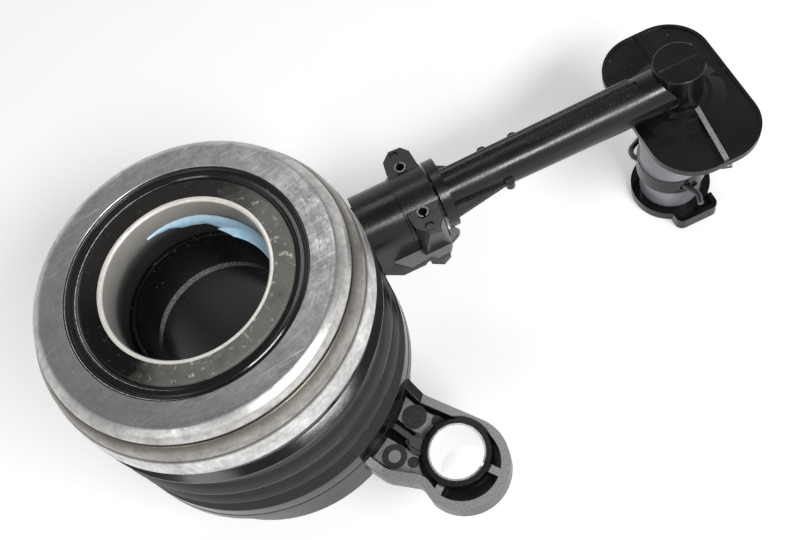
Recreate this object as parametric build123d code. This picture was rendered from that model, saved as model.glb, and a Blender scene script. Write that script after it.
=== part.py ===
from build123d import *
import math
import os

# Concentric clutch actuator, millimetres.
# Origin: centre of the shaft bore at the gearbox face. +Z runs to the clutch, +X along the feed tube.

# Shaft bore and guide tube
boreRadius = 13.0
guideWall = 1.0
guideTop = 45.0
guideLip = 0.6
guideFootRadius = 18.0
guideFootThick = 1.5

# Housing body
footRadius = 27.5
footHeight = 13.0
flangeRadius = 30.2
flangeTop = 16.0
chamberFloor = 8.0
cylinderWall = 3.6
cylinderTop = 31.0
pilotRadius = 22.0
pilotHeight = 3.0
pocketDepth = 4.5
pocketCount = 12
pocketRib = 1.8
pocketWall = 2.2

# Running fits and seats
pistonFit = 0.08
sealFit = 0.05
runningGap = 0.1
bearingGap = 0.5
sealSection = 1.5

# Thrust carrier
sealBase = 19.5
sealHeight = 4.6
pistonTop = 42.0
sleeveClear = 0.5
sleeveWall = 0.85
sleeveDepth = 4.0
seatThick = 1.2
seatInset = 3.0

# Thrust bearing
faceTop = 55.0
innerRingOuter = 18.9
faceInner = 21.45
faceInset = 4.2
shoulderInset = 2.2
shoulderDrop = 2.1
bulgeInset = 0.7
bulgeDrop = 6.0
shellInset = 0.2
shellBottom = 43.7
shellLip = 1.2
shellTuck = 1.1
ballRadius = 2.9
ballPitch = 20.17
ballDrop = 5.2
ballCount = 15
cageWall = 1.5
cageHeight = 5.2
frontSealThick = 1.1
frontSealDrop = 0.35

# Preload spring and boot
springInset = 1.1
springGap = 1.4
springWire = 1.8
springTurns = 5.0
bootWall = 0.9
bootFold = 1.8
bootBand = 3.2
bootBead = 2.3
bootRidges = (24.7, 30.9, 38.35)

# Mounting ears
earX = 28.0
earY = -33.0
sleeveRadius = 5.5
sleeveBore = 5.15
sleeveSlit = 0.7
bossRadius = 6.5
earRim = 13.0
earFloor = 9.7
earUnder = 8.4
earWall = 1.7
earRoot = 28.7
rampRun = 3.2
rampDrop = 0.4
earEndRadius = 9.7
earEndX = 28.1
earEndY = -34.3
earEndTurn = -62.0
earWallEnds = ((35.1, -29.7), (20.1, -39.2))
earInnerEnds = ((6.0, -20.0), (18.0, -10.0))
earUpperWall = ((25.0, -15.1), (27.0, -20.0))
earLowerWall = ((19.3, -35.4), (13.7, -31.5), (10.7, -26.7))
islandRise = 0.6
islandGap = 0.6
ribStep = 1.2
endRib = 1.5
endRibAngles = (27.0, -52.0, -140.0)
discCentres = ((23.4, -22.2), (16.9, -27.7))
discRadius = 2.45
discRim = 0.35
discRise = 0.15
webThick = 1.6
webMiddle = 33.5
webLength = 16.0
webBase = 2.2

# Port and feed tube
portY = 16.4
portZ = 18.1
spigotRadius = 5.0
spigotFit = 0.05
spigotEnd = 33.5
collarRadius = 7.5
collarStart = 29.6
collarStep = 38.4
collarEnd = 45.7
collarInset = 0.3
wingTop = 13.0
wingThick = 1.5
padTop = 24.0
padEdge = 5.7
padLean = 1.8
stubBase = 5.0
pinX = 42.0
pinOffset = 5.9
pinRadius = 1.25
pinWall = 0.35
pinLength = 20.0
dimpleOffset = 9.3
dimpleRadius = 0.9
dimpleDepth = 0.4
flangeGap = 0.6
tubeFlange = 2.2
tubeStart = 4.3
tubeEnd = 4.85
tubeBore = 2.4
channelWide = 1.1
channelDeep = 0.45
channelEnd = 92.5
channelTurn = 14.0
combStart = 67.0
combPitch = 1.0
combTurn = 6.0
finThick = 0.9
finRun = 13.0
gussetRun = 3.4
bumpRadius = 1.2
bumpRuns = (10.5, 17.5)
feedRadius = 1.3

# Elbow, cover plate and connector
elbowX = 101.4
capRadius = 5.3
capTop = 24.4
capFacet = 4.5
facetDrop = 3.5
capRound = 0.35
seamWide = 0.3
seamRise = 0.12
gateRadius = 0.9
plateTop = 13.5
plateThick = 1.6
plateLength = 37.8
plateWidth = 23.8
plateCorner = 9.5
plateX = 101.9
plateY = 16.0
plateRim = 0.7
plateDish = 0.35
plateRibRise = 1.0
thinRib = 0.7
thinRibRise = 0.5
lipRing = 7.4
lipWide = 0.8
lipRise = 0.75
flareRadius = 10.5
flareRise = 1.3
stemRadius = 4.0
stemBottom = -19.0
stemGroove = 0.7
connectorNeck = 7.5
connectorStep = 7.95
connectorStepTop = -9.0
connectorStepBase = -14.0
connectorFoot = 7.2
connectorBase = -21.0
connectorFit = 0.05
connectorSealZ = -4.0
plugRadius = 9.2
plugThick = 2.6
plugRim = 1.0
plugStem = 3.5
plugHub = 3.0
tabShift = 1.0
tabWidth = 10.4
tabRoot = 4.2
tabStart = 7.8
tabEnd = 11.8
tabRound = 1.8
tabThick = 1.6
tabRim = 1.1
tabRise = 0.9
clipWire = 1.3
clipZ = -11.6
clipReach = 9.3
clipRound = 2.2
clipTail = 10.0
clipHook = 1.9
clipAngle = 116.0
clipSlack = 0.3

# Worked out from the sizes above
guideRadius = boreRadius + guideWall
shellRadius = flangeRadius - shellInset
shoulderRadius = shellRadius - shoulderInset
bulgeRadius = shellRadius - bulgeInset
faceOuter = shellRadius - faceInset
bootRidge = shellRadius
bootValley = bootRidge - bootFold
seatRadius = bootRidge - seatInset
springRadius = seatRadius - springInset
cylinderRadius = springRadius - springWire / 2 - springGap
chamberRadius = cylinderRadius - cylinderWall
pistonTopRadius = chamberRadius - pistonFit
sleeveInner = guideRadius + sleeveClear
sleeveOuter = sleeveInner + sleeveWall
pistonBase = sealBase + sealHeight
seatTop = pistonTop + seatThick
ballZ = faceTop - ballDrop
ringBase = shellBottom + shellTuck
rearSealBase = ringBase + 0.1
frontSealTop = faceTop - frontSealDrop
springBase = flangeTop
tubeRoot = collarEnd + flangeGap + tubeFlange
slotWidth = clipWire + 2 * clipSlack
clipHalf = stemRadius - stemGroove + clipWire / 2 + clipSlack


def turned(points, roundings=None):
    """Solid of revolution about Z from (radius, z) points, with some corners rounded."""
    face = make_face(Polyline(*points, close=True))
    for point, radius in (roundings or {}).items():
        corner = face.vertices().sort_by_distance((point[0], point[1], 0))[0]
        face = fillet(corner, radius)
    return revolve(Plane.XZ * face, Axis.Z)


def tube(outer, inner, low, high):
    """Straight ring between two heights."""
    return turned([(inner, low), (outer, low), (outer, high), (inner, high)])


def post(x, y, radius, low, high):
    """Upright round post or cutter."""
    return Pos(x, y, (low + high) / 2) * Cylinder(radius, high - low)


def prism(points, low, high, taper=0):
    """Upright prism of a closed outline, narrowed upwards by the taper angle."""
    face = make_face(Polyline(*points, close=True))
    return extrude(Pos(0, 0, low) * face, high - low, taper=taper)


def alongX(radius, start, end, y=portY, z=portZ):
    """Round bar along X on the port axis."""
    return Pos((start + end) / 2, y, z) * Rot(0, 90, 0) * Cylinder(radius, end - start)


def mirrored(points):
    """The same outline on the other side of the port axis."""
    return [(x, 2 * portY - y) for x, y in points]


# Mounting ears

def earOutline():
    """Outline of one ear: two walls that leave the body and an arc round the bolt hole."""
    start, finish = earWallEnds
    turn = math.radians(earEndTurn)
    tip = (earEndX + earEndRadius * math.cos(turn), earEndY + earEndRadius * math.sin(turn))
    edges = [
        Polyline(*earInnerEnds, *earUpperWall, start),
        ThreePointArc(start, tip, finish),
        Polyline(finish, *earLowerWall, earInnerEnds[0]),
    ]
    face = make_face(Curve() + edges)
    rounded = [(earUpperWall[1], 3.0), (start, 2.5), (finish, 1.0)]
    rounded += [(earLowerWall[0], 2.2), (earLowerWall[1], 5.0)]
    for (x, y), radius in rounded:
        face = fillet(face.vertices().sort_by_distance((x, y, 0))[0], radius)
    return face


def earFields(outline):
    """Two raised fields on the pocket floor, clear of the walls, the boss and the middle rib."""
    region = offset(outline, amount=-earWall - islandGap)
    region -= Circle(footRadius + islandGap)
    region -= Pos(earX, earY) * Circle(bossRadius + 2 * islandGap)
    beyond = [(26.0, -30.0), (44.0, -22.0), (44.0, -46.0), (18.0, -46.0), (20.6, -33.0)]
    strip = [(16.6, -17.4), (19.4, -19.4), (24.6, -29.6), (22.0, -31.0), (16.0, -22.0)]
    for points in (beyond, strip):
        region -= make_face(Polyline(*points, close=True))
    return extrude(Pos(0, 0, earUnder + 0.5) * region, earFloor + islandRise - earUnder - 0.5)


def earRibs():
    """Middle rib with its lower step, and short ribs that stiffen the boss."""
    rib = [(17.9, -21.6), (18.9, -21.1), (21.9, -26.6), (24.4, -28.6)]
    rib += [(22.6, -30.6), (20.5, -27.8), (20.8, -26.9)]
    step = [(20.0, -26.2), (22.9, -26.0), (25.0, -29.0), (22.6, -31.0), (20.2, -28.9)]
    ribs = prism(rib, earUnder, earRim - 0.2) + prism(step, earUnder, earRim - ribStep)
    for angle in endRibAngles:
        arm = Pos(bossRadius + 2.0, 0, 0) * Box(4.6, endRib, earRim - earUnder)
        ribs += Pos(earX, earY, (earRim + earUnder) / 2) * Rot(0, 0, angle) * arm
    return ribs


def earRamps(outline):
    """The ear's walls where they climb from the rim to the boot flange."""
    wall = outline - offset(outline, amount=-earWall)
    top = flangeTop - rampDrop
    slope = turned([
        (chamberRadius, earUnder), (chamberRadius, top), (flangeRadius - 1.0, top),
        (flangeRadius + rampRun, earRim - 0.1), (flangeRadius + rampRun, earUnder),
    ])
    return extrude(Pos(0, 0, earUnder) * wall, flangeTop - earUnder) & slope


def ear():
    """Walled ear with a pocket, ribs, raised fields and a stand-off boss down to the face."""
    outline = earOutline()
    whole = extrude(Pos(0, 0, earUnder) * outline, earRim - earUnder)
    pocket = extrude(Pos(0, 0, earFloor) * offset(outline, amount=-earWall), earRim)
    body = whole - (pocket - post(0, 0, earRoot, 0, 3 * earRim))
    body += earRibs() & whole
    body += earRamps(outline)
    body += earFields(outline)
    top = earFloor + islandRise
    for x, y in discCentres:
        disc = post(x, y, discRadius, earFloor, top + discRise)
        disc -= post(x, y, discRadius - discRim, top, earRim)
        body += disc + post(x, y, discRadius / 2, earFloor, top + discRise)
    body += post(earX, earY, bossRadius, 0, earRim)
    angle = math.degrees(math.atan2(earY, earX))
    for side in (-1, 1):
        web = Pos(webMiddle, 2 * side * webThick, (webBase + earUnder) / 2)
        web *= Box(webLength, webThick, earUnder - webBase + 0.4)
        body += Rot(0, 0, angle) * web
    return body - post(earX, earY, sleeveRadius, -1, earRim + 1)


# Port with its neck, wing plate and pin blocks

def pinBlocks():
    """Two upright blocks for the roll pins, leaning in towards the wing, with a stub below it."""
    outline = [(38.7, 13.0), (38.9, 10.4), (39.3, 7.6), (41.3, padEdge), (43.9, padEdge + 0.2)]
    outline += [(45.2, 7.6), (45.6, 13.0)]
    stub = [(40.0, 13.0), (40.0, 9.4), (42.4, 8.0), (44.4, 9.0), (44.8, 13.0)]
    web = [(30.0, 11.8), (33.6, 9.8), (38.8, 9.8), (41.0, 11.2), (31.6, 13.2)]
    high = padTop - 1.0
    lean = [(0, high), (padEdge, high), (padEdge + padLean, wingTop), (0, wingTop)]
    block = prism(outline, wingTop - wingThick, padTop)
    block -= Pos(collarStart, 0, 0) * extrude(Plane.YZ * make_face(Polyline(*lean, close=True)), collarEnd)
    block += prism(stub, stubBase, wingTop) + prism(web, stubBase, wingTop - 0.6)
    block -= post(pinX, portY - dimpleOffset, dimpleRadius, padTop - dimpleDepth, padTop + 1)
    return block + mirror(block, Plane.XZ.offset(-portY))


def port():
    """Collar that takes the feed tube's spigot, on a thin wing plate between two pin blocks."""
    collar = alongX(collarRadius - collarInset, collarStart, collarStep)
    collar += alongX(collarRadius, collarStep, collarEnd)
    height = portZ - wingTop + wingThick
    saddle = Pos((collarStart + collarEnd) / 2, portY, portZ - height / 2)
    collar += saddle * Box(collarEnd - collarStart, 2 * (collarRadius - collarInset), height)
    collar += Pos(27.0, portY, (portZ + footHeight) / 2 - 3) * Box(13.0, 9.0, portZ - 2)
    wing = [(29.0, portY), (29.0, 11.8), (31.6, 10.2), (35.6, 6.3), (43.4, 7.1), (47.3, 9.1)]
    wing += [(47.9, 9.8), (46.9, 11.2), (45.8, 10.6), (collarEnd, portY)]
    for outline in (wing, mirrored(wing)):
        collar += prism(outline, wingTop - wingThick, wingTop)
    collar += pinBlocks()
    collar -= post(0, 0, flangeRadius + bearingGap, flangeTop, cylinderTop)
    return collar - alongX(collarRadius + runningGap, collarEnd, collarEnd + 2 * tubeFlange)


def portBores(body):
    """Spigot bore, roll pin holes and the slanting feed passage to the foot of the chamber."""
    body -= alongX(spigotRadius + spigotFit, spigotEnd, collarEnd + 1)
    for side in (-1, 1):
        y = portY + side * pinOffset
        body -= post(pinX, y, pinRadius, padTop - pinLength, padTop + 1)
    start = Vector(spigotEnd + 1, portY, portZ)
    finish = Vector(16.6, 6.0, chamberFloor + 0.8)
    way = finish - start
    plane = Plane(origin=start, z_dir=way)
    body -= extrude(plane * Circle(feedRadius), way.length)
    return body


# Housing

def bottomPockets():
    """Lightening pockets between radial ribs in the gearbox side."""
    ring = tube(footRadius - pocketWall, chamberRadius - 0.6, -1, pocketDepth)
    for index in range(pocketCount):
        angle = 360 * index / pocketCount
        rib = Pos(footRadius / 2, 0, pocketDepth / 2) * Box(footRadius, pocketRib, pocketDepth + 3)
        ring -= Rot(0, 0, angle) * rib
    return ring


def housing():
    """Moulded body: foot, boot flange, cylinder wall, pilot, two ears and the port."""
    neck = footRadius - 0.8
    body = turned([
        (guideRadius, 0), (footRadius, 0), (footRadius, footHeight - 1.2), (neck, footHeight - 1.2),
        (neck, footHeight + 0.3), (flangeRadius, footHeight + 0.3), (flangeRadius, flangeTop),
        (cylinderRadius, flangeTop), (cylinderRadius, cylinderTop), (guideRadius, cylinderTop),
    ], {(flangeRadius, flangeTop): 0.4, (cylinderRadius, cylinderTop): 0.6})
    body += tube(pilotRadius, guideFootRadius + 0.6, -pilotHeight, 0)
    body += ear()
    body += Rot(0, 0, 180) * ear()
    body += port()
    body -= bottomPockets()
    body -= tube(chamberRadius, guideRadius - 0.5, chamberFloor, cylinderTop + 1)
    body -= post(0, 0, guideRadius, -pilotHeight - 1, chamberFloor + 1)
    body -= tube(guideRadius + sealSection, guideRadius - 0.5, -0.1, sealSection)
    return portBores(body)


def guideTube():
    """Steel tube round the input shaft, pressed into the housing, with a foot and a rolled lip."""
    return turned([
        (boreRadius, -guideFootThick), (guideFootRadius, -guideFootThick), (guideFootRadius, 0),
        (guideRadius, 0), (guideRadius, guideTop), (boreRadius + 0.2, guideTop),
        (boreRadius, guideTop - guideLip),
    ], {(guideRadius, guideTop): guideLip})


def earSleeve():
    """Rolled steel compression sleeve with its slit."""
    sleeve = tube(sleeveRadius, sleeveBore, 0, earRim + 0.2)
    slit = Pos(sleeveRadius, 0, earRim / 2) * Box(2.0, sleeveSlit, earRim + 2)
    return Pos(earX, earY, 0) * (sleeve - Rot(0, 0, -52) * slit)


# Thrust carrier

def piston():
    """Annular piston with a counterbore for the thrust sleeve."""
    base = guideRadius + pistonFit
    return turned([
        (base, pistonBase), (pistonTopRadius, pistonBase), (pistonTopRadius, pistonTop),
        (sleeveOuter, pistonTop), (sleeveOuter, pistonTop - sleeveDepth), (base, pistonTop - sleeveDepth),
    ], {(pistonTopRadius, pistonTop): 0.5})


def pistonSeal():
    """Twin-lip ring seal under the piston."""
    inner = guideRadius + sealFit
    outer = chamberRadius - sealFit
    middle = (inner + outer) / 2
    return turned([
        (inner, sealBase), (inner + 0.9, sealBase), (middle, sealBase + 2.2), (outer - 0.9, sealBase),
        (outer, sealBase), (outer - 0.3, sealBase + 3.0), (outer - 0.3, pistonBase),
        (inner + 0.3, pistonBase), (inner + 0.3, sealBase + 3.0),
    ])


def thrustSleeve():
    """Thin sleeve from the piston to the front of the bearing."""
    return turned([
        (sleeveInner, pistonTop - sleeveDepth), (sleeveOuter, pistonTop - sleeveDepth),
        (sleeveOuter, faceTop), (sleeveInner, faceTop),
    ], {(sleeveInner, faceTop): 0.3})


def springSeat():
    """Pressed steel washer between the piston and the bearing."""
    return tube(seatRadius, sleeveOuter, pistonTop, seatTop)


def preloadSpring():
    """Coil spring from the housing flange to the seat, with its wire ends cut square to its path."""
    rise = pistonTop - springBase - springWire
    pitch = rise / springTurns
    path = Helix(pitch=pitch, height=rise, radius=springRadius)
    profile = Plane(origin=path @ 0, z_dir=path % 0) * Circle(springWire / 2)
    return Pos(0, 0, springBase + springWire / 2) * sweep(profile, path=path, is_frenet=True)


def boot():
    """Rubber bellows with three ridges, a foot band and a top bead."""
    top = seatTop
    outline = [(bootValley - bootWall, springBase), (flangeRadius - 0.1, springBase)]
    outline += [(flangeRadius - 0.1, springBase + bootBand), (bootValley + 0.3, springBase + bootBand + 1.4)]
    lows = [(a + b) / 2 for a, b in zip(bootRidges, bootRidges[1:])]
    for index, ridge in enumerate(bootRidges):
        outline += [(bootRidge - 0.35, ridge - 0.35), (bootRidge, ridge), (bootRidge - 0.35, ridge + 0.25)]
        if index < len(lows):
            outline.append((bootValley, lows[index]))
    bead = bootRidge - 0.6
    outline += [(bootValley, top - bootBead), (bead, top - bootBead + 0.4), (bead, top), (seatRadius, top)]
    outline += [(seatRadius, top - bootBead), (bootValley - bootWall, top - bootBead - 0.8)]
    for index in range(len(bootRidges) - 1, -1, -1):
        outline.append((bootRidge - 2 * bootWall, bootRidges[index]))
        if index > 0:
            outline.append((bootValley - bootWall, lows[index - 1]))
    outline.append((bootValley - bootWall, springBase + bootBand))
    return turned(outline)


# Thrust bearing

def raceway(body, radius):
    """Cut a ball groove with a running gap."""
    groove = revolve(Plane.XZ * Pos(ballPitch, ballZ) * Circle(radius), Axis.Z)
    return body - groove


def innerRing():
    """Inner bearing ring on the thrust sleeve."""
    ring = turned([
        (sleeveOuter, seatTop), (innerRingOuter, seatTop), (innerRingOuter, faceTop), (sleeveOuter, faceTop),
    ], {(innerRingOuter, faceTop): 0.4})
    return raceway(ring, ballRadius + runningGap)


def outerRing():
    """Outer ring with the flat pressure face and its rounded shoulder."""
    ring = turned([
        (faceInner, ringBase), (shoulderRadius, ringBase), (shoulderRadius, faceTop - shoulderDrop),
        (faceOuter, faceTop), (faceInner, faceTop),
    ], {(faceOuter, faceTop): 1.6, (shoulderRadius, faceTop - shoulderDrop): 0.7})
    return raceway(ring, ballRadius + runningGap)


def bearingShell():
    """Pressed steel shell round the outer ring: bulge, dark line and bright band."""
    top = faceTop - shoulderDrop - 0.3
    bulge = faceTop - bulgeDrop
    return turned([
        (shoulderRadius, ringBase), (shellRadius - shellLip, ringBase),
        (shellRadius - shellLip, shellBottom), (shellRadius, shellBottom), (shellRadius - 0.45, bulge - 0.6),
        (bulgeRadius - 0.1, bulge - 0.4), (bulgeRadius, bulge),
        (bulgeRadius - 0.35, (bulge + top) / 2 + 0.5),
        (shoulderRadius + 0.35, top), (shoulderRadius, top - 0.25),
    ])


def bearingSeal(low, high):
    """Ring seal held by the outer ring, with a shallow groove in its outer face."""
    inner = innerRingOuter + runningGap
    middle = (inner + faceInner) / 2
    face, back = (high, low) if high > ballZ else (low, high)
    step = 0.25 if high > ballZ else -0.25
    return turned([
        (inner, back), (faceInner, back), (faceInner, face), (middle + 0.45, face),
        (middle + 0.25, face - step), (middle - 0.25, face - step), (middle - 0.45, face), (inner, face),
    ])


def ballCage():
    """Moulded cage ring with a round pocket for each ball."""
    half = cageHeight / 2
    cage = tube(ballPitch + cageWall / 2, ballPitch - cageWall / 2, ballZ - half - 0.6, ballZ + half)
    for index in range(ballCount):
        cage -= Rot(0, 0, 360 * index / ballCount) * Pos(ballPitch, 0, ballZ) * Sphere(ballRadius + 0.08)
    return cage


def bearingBalls():
    """The set of balls."""
    ball = Pos(ballPitch, 0, ballZ) * Sphere(ballRadius)
    return [Rot(0, 0, 360 * index / ballCount) * ball for index in range(ballCount)]


# Feed tube with its elbow and plate

def pinGrooves(body):
    """Scallops that the roll pins lock into."""
    for side in (-1, 1):
        body -= post(pinX, portY + side * pinOffset, pinRadius + spigotFit, portZ - 8, portZ + 8)
    return body


def plateOutline(inset=0.0):
    """Rounded outline of the cover plate."""
    wide = plateWidth - 2 * inset
    long = plateLength - 2 * inset
    return Pos(plateX, plateY) * RectangleRounded(wide, long, plateCorner - inset)


def coverPlate():
    """Thin dished plate with a fine rim, a flare and a lip round the boss, and ribs out to the edge."""
    base = plateTop - plateThick
    floor = plateTop - plateDish
    plate = extrude(Pos(0, 0, base) * plateOutline(), plateThick)
    plate -= extrude(Pos(0, 0, floor) * plateOutline(plateRim), plateThick)
    plate += Pos(elbowX, portY, floor + flareRise / 2 - 0.05) * Cone(flareRadius, capRadius, flareRise + 0.1)
    plate += Pos(elbowX, portY, 0) * tube(lipRing, lipRing - lipWide, base, plateTop + lipRise)
    high = 2 * thinRibRise
    rib = [(102.9, portY), (104.0, portY), (102.1, -3.0), (101.0, -3.0)]
    ribs = prism(rib, base, plateTop + plateRibRise)
    ribs += Pos(elbowX + thinRib / 2, portY + plateLength / 4, floor) * Box(thinRib, plateLength / 2, high)
    ribs += Pos(elbowX + plateWidth / 4, portY + thinRib, floor) * Box(plateWidth / 2, thinRib, high)
    return plate + (ribs & extrude(Pos(0, 0, base) * plateOutline(0.1), 2 * plateThick))


def tubeRadiusAt(x):
    """Outer radius of the tapering tube."""
    return tubeStart + (tubeEnd - tubeStart) * (x - tubeRoot) / (elbowX - tubeRoot)


def tubeChannel():
    """Cutter for the shallow channel along the top of the tube."""
    middle = (tubeRoot + channelEnd) / 2
    slope = math.degrees(math.atan2(tubeEnd - tubeStart, elbowX - tubeRoot))
    cutter = Pos(0, 0, tubeRadiusAt(middle) - channelDeep + 1) * Rot(0, -slope, 0)
    cutter *= Box(channelEnd - tubeRoot, channelWide, 2)
    return Pos(middle, portY, portZ) * Rot(-channelTurn, 0, 0) * cutter


def tubeComb():
    """Fine cross ridges beside the channel, towards the elbow."""
    ridges = []
    for index in range(int((channelEnd - combStart) / combPitch)):
        x = combStart + combPitch * (index + 0.5)
        ridge = Pos(0, 0, tubeRadiusAt(x) - 0.2) * Box(combPitch / 2, channelWide, 0.56)
        ridges.append(Pos(x, portY, portZ) * Rot(combTurn, 0, 0) * ridge)
    return ridges


def tubeWeb(side, run):
    """Thin web between the flange and the tube, on one side of the axis."""
    wide = portY + side * (collarRadius - 0.6)
    near = portY + side * (tubeStart + 0.4)
    start = tubeRoot - 0.2
    end = tubeRoot + run
    points = [(start, wide), (end, near), (end, portY), (start, portY)]
    return prism(points, portZ - finThick / 2, portZ + finThick / 2)


def elbowBoss():
    """Upright boss at the elbow with a facet, a gate mark and a parting line."""
    boss = post(elbowX, portY, capRadius, plateTop - plateThick, capTop)
    boss = fillet(boss.edges().filter_by(GeomType.CIRCLE).sort_by(Axis.Z)[-1], capRound)
    boss -= Pos(elbowX + capFacet + 2, portY, capTop) * Box(4, 2 * capRadius, 2 * facetDrop)
    boss += alongX(gateRadius, elbowX, elbowX + capFacet + 0.3, z=capTop - facetDrop / 2)
    return boss + Pos(elbowX, portY, capTop) * Box(2 * capFacet, seamWide, 2 * seamRise)


def hydraulicTube():
    """Moulded feed tube: spigot, flange, tapering tube, elbow boss, cover plate and stem."""
    body = alongX(spigotRadius, spigotEnd + 0.5, tubeRoot)
    body = pinGrooves(body)
    body += alongX(collarRadius - runningGap, collarEnd + flangeGap, tubeRoot)
    cone = Plane(origin=(tubeRoot, portY, portZ), z_dir=(1, 0, 0)) * Circle(tubeStart)
    tip = Plane(origin=(elbowX, portY, portZ), z_dir=(1, 0, 0)) * Circle(tubeEnd)
    body += loft([cone, tip])
    body -= tubeChannel()
    body += tubeComb()
    body += tubeWeb(-1, finRun)
    body += tubeWeb(1, gussetRun)
    tip = Pos(tubeRoot + finRun - 0.6, portY - tubeStart - 0.6, portZ)
    body += tip * Cylinder(bumpRadius - 0.2, 2 * finThick)
    for run in bumpRuns:
        body += post(tubeRoot + run, portY + tubeStart + 0.2, bumpRadius, portZ - 0.7, portZ + 0.7)
    body += elbowBoss()
    body += coverPlate()
    body += post(elbowX, portY, stemRadius, stemBottom, plateTop)
    groove = Cylinder(stemRadius + 1, slotWidth) - Cylinder(stemRadius - stemGroove, slotWidth)
    body -= Pos(elbowX, portY, clipZ) * groove
    body -= alongX(tubeBore, spigotEnd, elbowX)
    body -= post(elbowX, portY, tubeBore, stemBottom - 1, portZ)
    return body - sealGroove()


def sealGroove():
    """Groove on the spigot for its ring seal."""
    x = collarStep - 2.2
    wide = sealSection + 0.2
    core = alongX(spigotRadius - sealSection + spigotFit, x - wide, x + wide)
    return alongX(spigotRadius + 1, x - wide / 2, x + wide / 2) - core


def spigotSeal():
    """Ring seal in the spigot's groove."""
    ring = Torus(spigotRadius + spigotFit - sealSection / 2, sealSection / 2)
    return Pos(collarStep - 2.2, portY, portZ) * Rot(0, 90, 0) * ring


def footSeal():
    """Ring seal between the guide tube and the housing."""
    return Pos(0, 0, sealSection / 2) * Torus(guideRadius + sealSection / 2, sealSection / 2)


def rollPins():
    """Two slotted roll pins, one each side of the spigot."""
    pins = []
    for side in (-1, 1):
        pin = Cylinder(pinRadius, pinLength) - Cylinder(pinRadius - pinWall, pinLength)
        pin -= Pos(0, side * pinRadius, 0) * Box(0.5, 1.6, pinLength)
        pins.append(Pos(pinX, portY + side * pinOffset, padTop - pinLength / 2 + 0.3) * pin)
    return pins


# Connector at the gearbox wall

def onElbow(shape):
    """Place a shape made about Z on the elbow's own axis."""
    return Pos(elbowX, portY, 0) * shape


def connectorBody():
    """Quick connector socket: neck, step ring, slotted foot."""
    bore = stemRadius + connectorFit
    top = plateTop - plateThick
    body = turned([
        (bore, connectorBase), (connectorFoot, connectorBase), (connectorFoot, connectorStepBase),
        (connectorStep, connectorStepBase), (connectorStep, connectorStepTop),
        (connectorNeck, connectorStepTop + 0.8), (connectorNeck, top), (bore, top),
    ], {(connectorStep, connectorStepTop): 0.5})
    slots = Part()
    for side in (-1, 1):
        slots += Pos(0, side * clipHalf, clipZ) * Box(4 * connectorStep, slotWidth, slotWidth)
    body -= Rot(0, 0, clipAngle) * slots
    ring = sealSection + 0.2
    body -= Pos(0, 0, connectorSealZ) * (Cylinder(stemRadius + sealSection, ring) - Cylinder(bore - 1, ring))
    return onElbow(body)


def connectorSeal():
    """Ring seal between the stem and the connector."""
    return onElbow(Pos(0, 0, connectorSealZ) * Torus(stemRadius + sealSection / 2, sealSection / 2))


def wireClip():
    """Spring wire clip: two arms through the slots, a squared loop and two hooked tails."""
    end = clipTail + clipHook
    wide = clipHalf + clipHook
    path = FilletPolyline((-end, wide), (-clipTail, clipHalf), (clipReach, clipHalf), (clipReach, -clipHalf),
                          (-clipTail, -clipHalf), (-end, -wide), radius=clipRound)
    wire = sweep(Plane(origin=path @ 0, z_dir=path % 0) * Circle(clipWire / 2), path=path)
    return onElbow(Pos(0, 0, clipZ) * Rot(0, 0, clipAngle) * wire)


def dustPlug():
    """Protective plug in the connector's mouth, with a rimmed pull tab."""
    base = connectorBase - plugThick
    plug = Pos(0, 0, connectorBase - plugThick / 2) * Cylinder(plugRadius, plugThick)
    plug -= Pos(0, 0, base + 0.3) * (Cylinder(plugRadius - plugRim, 1.0) - Cylinder(plugHub, 1.0))
    middle = Pos(tabShift, -(tabEnd + tabRoot) / 2, 0)
    tab = Pos(0, 0, base + tabThick / 2) * Box(tabWidth, tabEnd - tabRoot, tabThick)
    plug += middle * fillet(tab.edges().filter_by(Axis.Z), tabRound)
    middle = Pos(tabShift, -(tabEnd + tabStart) / 2, 0)
    high = connectorBase + tabRise - base
    rim = Pos(0, 0, base + high / 2) * Box(tabWidth, tabEnd - tabStart, high)
    rim = fillet(rim.edges().filter_by(Axis.Z).sort_by(Axis.Y)[:2], tabRound)
    hollow = Pos(0, tabRim, base + high / 2 + tabThick) * Box(tabWidth - 2 * tabRim, tabEnd - tabStart, high)
    plug += middle * (rim - hollow)
    plug += Pos(0, 0, (connectorBase + stemBottom) / 2) * Cylinder(plugStem, stemBottom - connectorBase)
    return onElbow(plug)


subparts = {
    "housing": housing,
    "guide_tube": guideTube,
    "ear_sleeves": lambda: [earSleeve(), Rot(0, 0, 180) * earSleeve()],
    "foot_seal": footSeal,
    "hydraulic_tube": hydraulicTube,
    "spigot_seal": spigotSeal,
    "roll_pins": rollPins,
    "connector_body": connectorBody,
    "connector_seal": connectorSeal,
    "dust_plug": dustPlug,
    "wire_clip": wireClip,
    "piston": piston,
    "piston_seal": pistonSeal,
    "thrust_sleeve": thrustSleeve,
    "spring_seat": springSeat,
    "preload_spring": preloadSpring,
    "boot": boot,
    "bearing_inner_ring": innerRing,
    "bearing_outer_ring": outerRing,
    "bearing_shell": bearingShell,
    "front_seal": lambda: bearingSeal(frontSealTop - frontSealThick, frontSealTop),
    "rear_seal": lambda: bearingSeal(rearSealBase, rearSealBase + frontSealThick),
    "ball_cage": ballCage,
    "bearing_balls": bearingBalls,
}


os.makedirs("parts", exist_ok=True)
for name, make in subparts.items():
    made = make()
    if isinstance(made, list):
        made = Compound(children=made)
    export_step(made, f"parts/{name}.step")
    print(name, "done")
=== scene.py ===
import bpy
import bmesh
import math
import random
from mathutils import Matrix, Vector


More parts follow.
